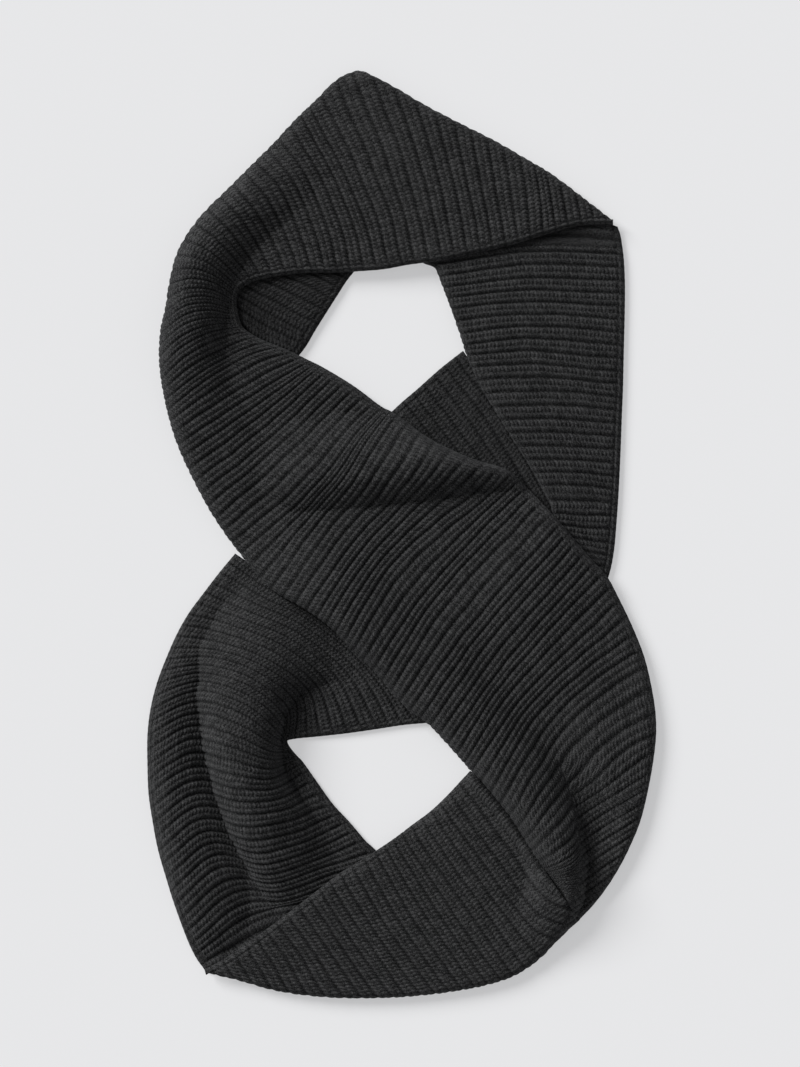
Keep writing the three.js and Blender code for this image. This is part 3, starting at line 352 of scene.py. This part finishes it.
def through(places, values, at):
    """A smooth curve through values at uneven places; values may have a second axis."""
    places = np.asarray(places, float)
    values = np.asarray(values, float)
    at = np.atleast_1d(np.asarray(at, float))
    steps = np.diff(places)
    rates = (np.diff(values, axis=0).T / steps).T
    slopes = np.empty_like(values)
    slopes[0] = rates[0]
    slopes[-1] = rates[-1]
    back = steps[:-1]
    ahead = steps[1:]
    slopes[1:-1] = ((rates[:-1].T * ahead + rates[1:].T * back) / (back + ahead)).T
    i = np.clip(np.searchsorted(places, at, side="left") - 1, 0, len(places) - 2)
    t = np.clip((at - places[i]) / steps[i], 0, 1)
    span = steps[i]
    if values.ndim > 1:
        t = t[:, None]
        span = span[:, None]
    t2 = t * t
    t3 = t2 * t
    start = values[i] * (2 * t3 - 3 * t2 + 1) + slopes[i] * span * (t3 - 2 * t2 + t)
    return start + values[i + 1] * (3 * t2 - 2 * t3) + slopes[i + 1] * span * (t3 - t2)


def fold_rise(fold, x, y):
    """Rise that one fold gives at each place: the nearest place on its crest line decides."""
    best = np.full(x.shape, np.inf)
    rise = np.zeros(x.shape)
    for i in range(len(fold["x"]) - 1):
        ax, ay = fold["x"][i], fold["y"][i]
        dx, dy = fold["x"][i + 1] - ax, fold["y"][i + 1] - ay
        t = np.clip(((x - ax) * dx + (y - ay) * dy) / (dx * dx + dy * dy), 0, 1)
        ex = x - ax - dx * t
        ey = y - ay - dy * t
        away = np.hypot(ex, ey)
        left = dx * ey - dy * ex > 0
        mix = {k: fold[k][i] + (fold[k][i + 1] - fold[k][i]) * t for k in FOLD_POINT[2:]}
        q = away / np.where(left, mix["left"], mix["right"])
        fall = np.where(left, mix["fallL"], mix["fallR"])
        here = mix["rise"] * np.clip(1 - q * q, 0, 1) ** fall
        nearer = away < best
        rise = np.where(nearer, here, rise)
        best = np.where(nearer, away, best)
    return rise


def rib_line(rows, folds, rib):
    """One rib over the cloth, from the end of one tucked edge to the other.

    Returns its points, their length along it, the share of relief at each, the length where the
    face begins, the distance of each from the first side, and the face's whole width.
    """
    names = [k for k in rows if k != "rib"]
    values = np.stack([rows[k] for k in names], axis=1)
    s = dict(zip(names, through(rows["rib"], values, rib)[0]))
    keys = [k for k in "01234" if "x" + k in s]
    plan = np.array([[s["x" + k], s["y" + k]] for k in keys])
    run = np.concatenate([[0], np.cumsum(np.hypot(*np.diff(plan, axis=0).T))])
    whole = run[-1]

    def level(d):
        p = through(run, plan, d)
        z = through([0, 0.5, 1], [s["top0"], s["topM"], s["top4"]], np.clip(d / whole, 0, 1))
        for fold in folds:
            z = z + fold_rise(fold, p[:, 0], p[:, 1])
        return z

    lows = [low - np.interp(low, *SETTLE) for low in (s["low0"], s["low4"])]
    ends = level(np.array([0, whole]))
    thick = [ends[0] - lows[0], ends[1] - lows[1]]
    radius = [min(t * EDGE_ROUND, whole * EDGE_LIMIT) for t in thick]
    d = whole * (0.5 - 0.5 * np.cos(np.pi * np.linspace(0, 1, LINE_POINTS)))
    z = level(d)
    for side, inward in enumerate((d, whole - d)):
        middle = lows[side] + thick[side] * 0.5
        q = np.clip(1 - inward / radius[side], 0, 1)
        z = np.where(inward < radius[side], middle + (z - middle) * np.sqrt(1 - q * q), z)
    turned = np.minimum(d / (radius[0] * EDGE_CALM), (whole - d) / (radius[1] * EDGE_CALM))
    share = EDGE_RELIEF + (1 - EDGE_RELIEF) * np.clip(turned, 0, 1)
    parts = [(d, z, share)]
    for side in (0, 1):
        grown = np.clip((thick[side] - TUCK_HEIGHT[0]) / TUCK_HEIGHT[1], 0, 1)
        reach = min(TUCK * grown, whole * EDGE_LIMIT)
        if reach < TUCK_LEAST:
            continue
        q = np.linspace(0, 1, TURN_POINTS)[1:]
        inward = radius[side] * q * q
        low = lows[side] + TUCK_LIFT
        middle = lows[side] + thick[side] * 0.5
        under = middle - (middle - low) * np.sqrt(1 - (1 - inward / radius[side]) ** 2)
        keep = inward <= reach
        inward, under = inward[keep], under[keep]
        if reach > radius[side]:
            more = np.linspace(radius[side], reach, UNDER_POINTS)[1:]
            inward = np.concatenate([inward, more])
            under = np.concatenate([under, np.full(len(more), low)])
        none = np.zeros(len(inward))
        if side == 0:
            parts.insert(0, (inward[::-1], under[::-1], none))
        else:
            parts.append((whole - inward, under, none))
    d = np.concatenate([p[0] for p in parts])
    z = np.concatenate([p[1] for p in parts])
    share = np.concatenate([p[2] for p in parts])
    p = through(run, plan, d)
    points = np.column_stack([p, z])
    arc = np.concatenate([[0], np.cumsum(np.linalg.norm(np.diff(points, axis=0), axis=1))])
    zero = len(parts[0][0]) - 1 if len(parts) > 1 and parts[0][2].max() == 0 else 0
    return points, arc, share, arc[zero], d, whole


def scatter(a, b):
    """A fixed number from 0 to 1 for each pair of whole numbers."""
    mixed = np.sin(a * 12.9898 + b * 78.233) * 43758.5453
    return mixed - np.floor(mixed)


def wander(x, y):
    """How far the ribs stray sideways at a place, as a share of a rib."""
    rng = np.random.default_rng(SEED)
    total = np.zeros_like(x)
    for _ in range(WANDER_COUNT):
        turn = rng.uniform(0, 2 * np.pi)
        wave = rng.uniform(*WANDER_WAVE)
        start = rng.uniform(0, 2 * np.pi)
        total += np.sin((x * np.cos(turn) + y * np.sin(turn)) * 2 * np.pi / wave + start)
    return total / math.sqrt(WANDER_COUNT) * WANDER


def stitch_relief(u, s, phase, offsets):
    """Height of rib and yarn at rib number u and length s along the rib, in mm over the groove."""
    w = (u + phase) % 1.0
    groove = np.minimum(w, 1 - w)
    rib = 1 - np.exp(-((groove / GROOVE_WIDTH) ** 2))
    rib = rib * (1 - WALE_DIP * np.exp(-(((w - 0.5) / WALE_DIP_WIDTH) ** 2)))
    wales = (u + phase) * 2
    h = wales % 1.0
    shift = offsets[np.floor(wales).astype(int) % len(offsets)]
    row = s / STITCH_PITCH + shift + STITCH_VEE * np.abs(2 * h - 1)
    stitch = np.floor(row + 0.5)
    place = row - stitch
    place = place + STITCH_SHIFT * (scatter(stitch, np.floor(wales)) - 0.5) * (1 - 4 * place * place)
    size = 1 + STITCH_SPREAD * (scatter(np.floor(wales), stitch + 7) - 0.5)
    yarn = np.abs(np.cos(np.pi * place)) ** STITCH_BLUNT * size
    return RIB * rib + STITCH * yarn * np.clip(rib, 0, 1)


def side_of_line(line, x, y):
    """Signed distance from a line of points: positive to the right of one that runs downwards."""
    best = np.full(x.shape, np.inf)
    signed = np.zeros(x.shape)
    for (ax, ay), (bx, by) in zip(line[:-1], line[1:]):
        dx, dy = bx - ax, by - ay
        t = np.clip(((x - ax) * dx + (y - ay) * dy) / (dx * dx + dy * dy), 0, 1)
        ex = x - ax - dx * t
        ey = y - ay - dy * t
        away = np.hypot(ex, ey)
        nearer = away < best
        signed = np.where(nearer, np.where(dx * ey - dy * ex > 0, away, -away), signed)
        best = np.where(nearer, away, best)
    return signed


def turn_ribs(grid, u, along, bend):
    """Ribs at the lower right turn: they bend towards the crest line and rise again beyond it."""
    x, y = grid[:, :, 0], grid[:, :, 1]
    beyond = side_of_line(TURN_CREST, x, y)
    angle = math.radians(TURN_ANGLE)
    ahead = (x - TURN_ORIGIN[0]) * math.cos(angle) + (y - TURN_ORIGIN[1]) * math.sin(angle)
    across = (x - TURN_ORIGIN[0]) * math.sin(angle) - (y - TURN_ORIGIN[1]) * math.cos(angle)
    level = np.clip((TURN_TOP - y) / TURN_BLEND, 0, 1)
    level = level * level * (3 - 2 * level)
    weight = level * (beyond > 0)
    near = np.clip(1 + beyond / TURN_REACH, 0, 1) * (beyond <= 0)
    u_new = u + bend * near * near
    u_new = u_new * (1 - weight) + (TURN_RIB + across / TURN_PITCH) * weight
    s_new = along * (1 - weight) + (TURN_START - ahead) * weight
    crest = np.clip(np.abs(beyond) / TURN_CALM, 0, 1)
    calm = 1 - (1 - crest) * np.clip((TURN_TOP - y) / TURN_BLEND, 0, 1)
    return u_new, s_new, calm


def chain_border(away, u):
    """Relief of the chain border: height at a distance from the selvedge and at rib number u."""
    chain = 0.5 + 0.5 * np.cos(2 * np.pi * (away / CHAIN_PITCH + CHAIN_START))
    link = 0.5 + 0.5 * np.cos(2 * np.pi * (u * 2 + away / LINK_PITCH))
    return CHAIN_RISE * chain * (1 - LINK_SHARE + LINK_SHARE * link) - CHAIN_SINK


def shell(name, rows, folds, first, last, selvedge, seams, phase, bend):
    """One stretch of the cloth as a closed shell: the object, and its face's area in square metres.

    It runs from the first rib to the last. Selvedge says which sides carry the chain border, seams how
    wide a gap each end leaves to its neighbour (negative: an overlap), phase where in a rib it starts,
    and bend how its ribs climb at the lower right turn, or None.
    """
    count = max(6, int(round((last - first) * COLUMNS)))
    ribs = np.linspace(first, last, count + 1)
    lines = [rib_line(rows, folds, rib) for rib in ribs]
    longest = max(line[1][-1] for line in lines)
    rows_n = max(12, int(round(longest / ROW_STEP)))
    grid = np.zeros((count + 1, rows_n + 1, 3))
    share = np.zeros((count + 1, rows_n + 1))
    along = np.zeros((count + 1, rows_n + 1))
    side = np.zeros((count + 1, rows_n + 1, 2))
    total = np.zeros(count + 1)
    for i, (points, arc, part, zero, d, whole) in enumerate(lines):
        want = np.linspace(0, arc[-1], rows_n + 1)
        for k in range(3):
            grid[i, :, k] = np.interp(want, arc, points[:, k])
        share[i] = np.interp(want, arc, part)
        at = np.interp(want, arc, d)
        side[i, :, 0] = at
        side[i, :, 1] = whole - at
        along[i] = want - zero
        total[i] = arc[-1]
    for end, inner, amount in ((0, 1, seams[0]), (-1, -2, seams[1])):
        step = grid[inner] - grid[end]
        step[:, 2] = 0
        size = np.linalg.norm(step, axis=1, keepdims=True)
        grid[end] += step / np.maximum(size, 1e-6) * amount * 0.5
    du = np.gradient(grid, axis=0)
    dv = np.gradient(grid, axis=1)
    normal = np.cross(du, dv)
    length = np.linalg.norm(normal, axis=2, keepdims=True)
    normal = normal / np.maximum(length, 1e-9)
    pitch = length[:, :, 0] / np.maximum(np.linalg.norm(dv, axis=2), 1e-9) / (ribs[1] - ribs[0])
    squeeze = np.clip(pitch / EASY_PITCH, LEAST_RELIEF, 1)
    mid = normal[:, rows_n // 3: 2 * rows_n // 3, 2].mean()
    if mid < 0:
        normal = -normal
    rng = np.random.default_rng(SEED + len(name))
    offsets = rng.uniform(-WALE_SHIFT, WALE_SHIFT, WALE_SHIFTS)
    offsets[1::2] += 0.5
    u = np.repeat(ribs[:, None], rows_n + 1, axis=1)
    calm = np.ones_like(u)
    u = u + wander(grid[:, :, 0], grid[:, :, 1])
    if bend is not None:
        u, along, calm = turn_ribs(grid, u, along, bend)
    relief = (stitch_relief(u, along, phase, offsets) - RIB * 0.5) * calm * squeeze
    for k in (0, 1):
        if selvedge[k]:
            away = side[:, :, k]
            edge = np.clip(1 - away / BORDER, 0, 1)
            flat = np.clip(edge * 3, 0, 1)
            relief = relief * (1 - flat) + chain_border(away, u) * flat
    outer = grid + normal * (relief * share)[:, :, None]
    outer[:, :, 2] = np.maximum(outer[:, :, 2], FACE_FLOOR)
    arc_at = np.linspace(0, 1, rows_n + 1)[None, :] * total[:, None]
    rim = np.minimum(arc_at, total[:, None] - arc_at)
    q = 1 - np.clip(rim / RIM, 0, 1)
    depth = CLOTH * np.sqrt(1 - q * q)
    inside = grid - normal * depth[:, :, None]
    inside[:, :, 2] = np.maximum(inside[:, :, 2], INSIDE_FLOOR)
    picks = np.arange(2, rows_n - 1, INSIDE_STEP)[::-1]
    ring = np.concatenate([outer, inside[:, picks]], axis=1)
    n = ring.shape[1]
    vertices = ring.reshape(-1, 3) * MM
    i = np.repeat(np.arange(count), n)
    j = np.tile(np.arange(n), count)
    a = i * n + j
    b = i * n + (j + 1) % n
    quads = np.column_stack([a, b, b + n, a + n])
    if mid > 0:
        quads = quads[:, ::-1]
    faces = quads.tolist()
    for base, flip in ((0, mid > 0), (count * n, mid < 0)):
        faces += zipped(vertices[base:base + n], base, rows_n + 1, not flip)
    mesh = bpy.data.meshes.new(name)
    mesh.from_pydata(vertices.tolist(), [], faces)
    uv_u = np.concatenate([u, np.repeat(ribs[:, None], len(picks), axis=1)], axis=1).ravel()
    uv_s = np.concatenate([along, along[:, picks]], axis=1).ravel() / STITCH_PITCH
    layer = mesh.uv_layers.new(name="Knit")
    loops = np.empty(len(mesh.loops), dtype=np.int32)
    mesh.loops.foreach_get("vertex_index", loops)
    uv = np.column_stack([uv_u[loops] + phase, uv_s[loops]]).ravel().astype(np.float32)
    layer.data.foreach_set("uv", uv)
    # painted shade: a darkening factor on each point of the lower layers
    shade = mesh.attributes.new("PaintedShade", "FLOAT", "POINT")
    tone = np.full(len(mesh.vertices), PAINTED_SHADE.get(name, 1.0), dtype=np.float32)
    shade.data.foreach_set("value", tone)
    mesh.polygons.foreach_set("use_smooth", np.ones(len(mesh.polygons), dtype=bool))
    mesh.update()
    piece = bpy.data.objects.new(name, mesh)
    bpy.context.scene.collection.objects.link(piece)
    over, down = np.diff(grid, axis=0)[:, :-1], np.diff(grid, axis=1)[:-1]
    area = float(np.linalg.norm(np.cross(over, down), axis=2).sum() * MM * MM)
    print(name, "triangles", 2 * len(faces), "area m2", round(area, 4))
    return piece, area


def zipped(points, base, face_count, flip):
    """Closes an end of a shell between its face and its inside."""
    total = len(points)
    top, low = 0, total - 1
    faces = []
    while top < face_count - 1 or low > face_count:
        a = np.linalg.norm(points[top + 1] - points[low]) if top < face_count - 1 else np.inf
        b = np.linalg.norm(points[low - 1] - points[top]) if low > face_count else np.inf
        if a <= b:
            one = (base + top, base + top + 1, base + low)
            top += 1
        else:
            one = (base + top, base + low - 1, base + low)
            low -= 1
        faces.append(one[::-1] if flip else one)
    return faces


def node(tree, kind, **values):
    """A new node in a material, with its settings."""
    made = tree.nodes.new(kind)
    for key, value in values.items():
        setattr(made, key, value)
    return made


def knit_material():
    """Dark charcoal wool with fine fibre on it, and painted shade: the yarn is darker in the grooves and
    between stitches, lighter on its crests.
    """
    material = bpy.data.materials.new("knit")
    material.use_nodes = True
    tree = material.node_tree
    tree.nodes.clear()
    link = tree.links.new
    out = node(tree, "ShaderNodeOutputMaterial")
    skin = node(tree, "ShaderNodeBsdfPrincipled")
    link(skin.outputs["BSDF"], out.inputs["Surface"])
    skin.inputs["Roughness"].default_value = 0.95
    skin.inputs["Specular IOR Level"].default_value = 0.1
    skin.inputs["Sheen Weight"].default_value = 0.04
    skin.inputs["Sheen Roughness"].default_value = 0.6
    skin.inputs["Sheen Tint"].default_value = (0.75, 0.77, 0.8, 1)
    uv = node(tree, "ShaderNodeUVMap", uv_map="Knit")
    split = node(tree, "ShaderNodeSeparateXYZ")
    link(uv.outputs["UV"], split.inputs["Vector"])

    def maths(kind, a, b=None, c=None):
        made = node(tree, "ShaderNodeMath", operation=kind)
        for slot, value in enumerate((a, b, c)):
            if value is None:
                continue
            if isinstance(value, (int, float)):
                made.inputs[slot].default_value = value
            else:
                link(value, made.inputs[slot])
        return made.outputs[0]

    u = split.outputs["X"]
    s = split.outputs["Y"]
    wales = maths("MULTIPLY", u, 2)
    h = maths("FRACT", wales)
    odd = maths("FRACT", maths("MULTIPLY", maths("FLOOR", wales), 0.5))
    vee = maths("MULTIPLY", maths("ABSOLUTE", maths("SUBTRACT", maths("MULTIPLY", h, 2), 1)), STITCH_VEE)
    row = maths("ADD", maths("ADD", s, maths("MULTIPLY", odd, 0.5)), vee)
    loops = maths("COSINE", maths("MULTIPLY", row, 2 * math.pi))
    leaning = maths("ADD", row, maths("MULTIPLY", h, STRAND_TWIST))
    strand = maths("COSINE", maths("MULTIPLY", leaning, STRANDS * 2 * math.pi))
    # a crest mask for painted shade: low in the rib's grooves and in the dip between its wales
    w = maths("FRACT", u)
    groove = maths("MINIMUM", w, maths("SUBTRACT", 1, w))
    middle = maths("MINIMUM", h, maths("SUBTRACT", 1, h))
    dip = maths("MINIMUM", maths("DIVIDE", middle, CREST_DIP_WIDTH), 1)
    dip = maths("ADD", maths("MULTIPLY", dip, CREST_DIP), 1 - CREST_DIP)
    crest = maths("MULTIPLY", maths("MINIMUM", maths("DIVIDE", groove, CREST_WIDTH), 1), dip)

    place = node(tree, "ShaderNodeTexCoord")
    fibre = node(tree, "ShaderNodeTexNoise")
    link(place.outputs["Object"], fibre.inputs["Vector"])
    fibre.inputs["Scale"].default_value = FIBRE_SCALE
    fibre.inputs["Detail"].default_value = 4
    fibre.inputs["Roughness"].default_value = 0.7
    patch = node(tree, "ShaderNodeTexNoise")
    link(place.outputs["Object"], patch.inputs["Vector"])
    patch.inputs["Scale"].default_value = PATCH_SCALE
    patch.inputs["Detail"].default_value = 3

    stitch = node(tree, "ShaderNodeCombineXYZ")
    link(maths("FLOOR", wales), stitch.inputs["X"])
    link(maths("FLOOR", maths("ADD", row, 0.5)), stitch.inputs["Y"])
    lone = node(tree, "ShaderNodeTexWhiteNoise", noise_dimensions="2D")
    link(stitch.outputs["Vector"], lone.inputs["Vector"])

    def either_way(value, amount):
        return maths("MULTIPLY", maths("SUBTRACT", value, 0.5), amount)

    grain = either_way(fibre.outputs["Fac"], TONE_FIBRE)
    grain = maths("ADD", grain, either_way(lone.outputs["Value"], TONE_CHANCE))
    # painted shade: darker between the stitches and in the grooves, lighter on the crests
    tone = maths("ADD", maths("MULTIPLY", loops, TONE_STITCH_PAINTED_SHADE), maths("MULTIPLY", crest, TONE_RIB_PAINTED_SHADE))
    tone = maths("ADD", tone, grain)
    tone = maths("ADD", tone, either_way(patch.outputs["Fac"], TONE_PATCH))
    ramp = node(tree, "ShaderNodeValToRGB")
    link(tone, ramp.inputs["Fac"])
    ramp.color_ramp.elements[0].position = 0.0
    ramp.color_ramp.elements[0].color = YARN_DARK
    ramp.color_ramp.elements[1].position = 1.0
    ramp.color_ramp.elements[1].color = YARN_LIGHT
    # painted shade: the base colour is multiplied by the lower layers' darkening factor
    shade = node(tree, "ShaderNodeAttribute", attribute_name="PaintedShade")
    shaded = node(tree, "ShaderNodeMix", data_type="RGBA", blend_type="MULTIPLY")
    shaded.inputs[MIX_FACTOR].default_value = 1
    link(ramp.outputs["Color"], shaded.inputs[MIX_A])
    link(shade.outputs["Fac"], shaded.inputs[MIX_B])
    link(shaded.outputs[MIX_RESULT], skin.inputs["Base Color"])

    height = maths("ADD", maths("MULTIPLY", loops, BUMP_STITCH), maths("MULTIPLY", strand, BUMP_STRAND))
    height = maths("ADD", height, maths("MULTIPLY", fibre.outputs["Fac"], BUMP_FIBRE))
    bump = node(tree, "ShaderNodeBump")
    bump.inputs["Strength"].default_value = 0.55
    bump.inputs["Distance"].default_value = 0.0007
    link(height, bump.inputs["Height"])
    link(bump.outputs["Normal"], skin.inputs["Normal"])
    return material


knit = knit_material()

# Piece, solid, section table, folds, first and last rib, selvedge sides, seams, rib phase, what it
# lies on.
PIECES = [
    ("left_underlay_cloth", "left_underlay", LEFT_UNDERLAY, [], 0, 8.5, (False, True), (0, 0), 0.5,
     ["floor"]),
    ("inner_tuck_cloth", "inner_tuck", INNER_TUCK, [], 0, 7.2, (True, False), (0, 0), 0.5, ["floor"]),
    ("right_stretch_cloth", "right_stretch", RIGHT, [], 0, 26.9, (False, True), (0, 0), 0.0,
     ["floor", "inner_tuck_cloth"]),
    ("lower_left_cloth", "lower_left_stretch", LOWER_LEFT, LOWER_FOLDS, 0, 33.5, (True, True), (0, -3.2),
     0.0, ["floor"]),
    ("bottom_cloth", "bottom_stretch", BOTTOM, UPPER_FOLDS, 0, 25.5, (False, True), (-1.8, 0), 0.0,
     ["floor", "lower_left_cloth"]),
    ("upper_cloth", "upper_stretch", UPPER, UPPER_FOLDS, 0, 32.5, (True, False), (0, 0), 0.5,
     ["floor", "right_stretch_cloth", "left_underlay_cloth"]),
    ("crossing_cloth", "crossing_stretch", CROSSING, UPPER_FOLDS, 32.5, 100, (True, False), (0, -0.8),
     0.5, ["floor", "right_stretch_cloth", "lower_left_cloth"]),
]


def build_floor():
    """The pale surface that the scarf lies on."""
    mesh = bpy.data.meshes.new("floor")
    half = 3.0
    corners = [(-half, -half, 0), (half, -half, 0), (half, half, 0), (-half, half, 0)]
    mesh.from_pydata(corners, [], [(0, 1, 2, 3)])
    floor = bpy.data.objects.new("floor", mesh)
    bpy.context.scene.collection.objects.link(floor)
    material = bpy.data.materials.new("pale_surface")
    material.use_nodes = True
    skin = material.node_tree.nodes["Principled BSDF"]
    skin.inputs["Base Color"].default_value = (0.4, 0.402, 0.408, 1)
    skin.inputs["Emission Color"].default_value = (0.985, 0.987, 1, 1)
    skin.inputs["Emission Strength"].default_value = 0.44
    skin.inputs["Roughness"].default_value = 0.9
    skin.inputs["Specular IOR Level"].default_value = 0.1
    mesh.materials.append(material)


build_floor()
for name, solid, rows, folds, first, last, selvedge, seams, phase, rests in PIECES:
    piece, area = shell(name, rows, folds, first, last, selvedge, seams, phase, TURN_BEND.get(name))
    piece.data.materials.append(knit)
    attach(piece, "root")
    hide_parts(solid)


def sun(name, aim_from, strength, spread, colour):
    """A sun that shines from a direction; its spread is in degrees."""
    data = bpy.data.lights.new(name, "SUN")
    data.energy = strength
    data.angle = math.radians(spread)
    data.color = colour
    lamp = bpy.data.objects.new(name, data)
    lamp.rotation_euler = Vector(aim_from).to_track_quat("Z", "Y").to_euler()
    bpy.context.scene.collection.objects.link(lamp)


sun("window", aim_from=(-0.66, 0.52, 0.5), strength=3.75, spread=26, colour=(1, 0.998, 0.995))

world = bpy.data.worlds.new("soft_room")
world.use_nodes = True
world.node_tree.nodes["Background"].inputs["Color"].default_value = (0.985, 0.985, 1, 1)
world.node_tree.nodes["Background"].inputs["Strength"].default_value = 0.3
bpy.context.scene.world = world

# The camera looks straight down from far enough that the scarf has no visible perspective.
VIEW_WIDTH = 520.0 * MM
CAMERA_HEIGHT = 3.0
SENSOR = 36
camera_data = bpy.data.cameras.new("camera")
camera_data.sensor_fit = "HORIZONTAL"
camera_data.sensor_width = SENSOR
camera_data.lens = SENSOR * CAMERA_HEIGHT / VIEW_WIDTH
camera_data.dof.use_dof = False
camera = bpy.data.objects.new("camera", camera_data)
camera.location = (-1.0 * MM, 1.0 * MM, CAMERA_HEIGHT)
camera.rotation_euler = (0, 0, 0)
bpy.context.scene.collection.objects.link(camera)
bpy.context.scene.camera = camera
bpy.context.scene.view_settings.view_transform = "Standard"
bpy.context.scene.view_settings.look = "None"
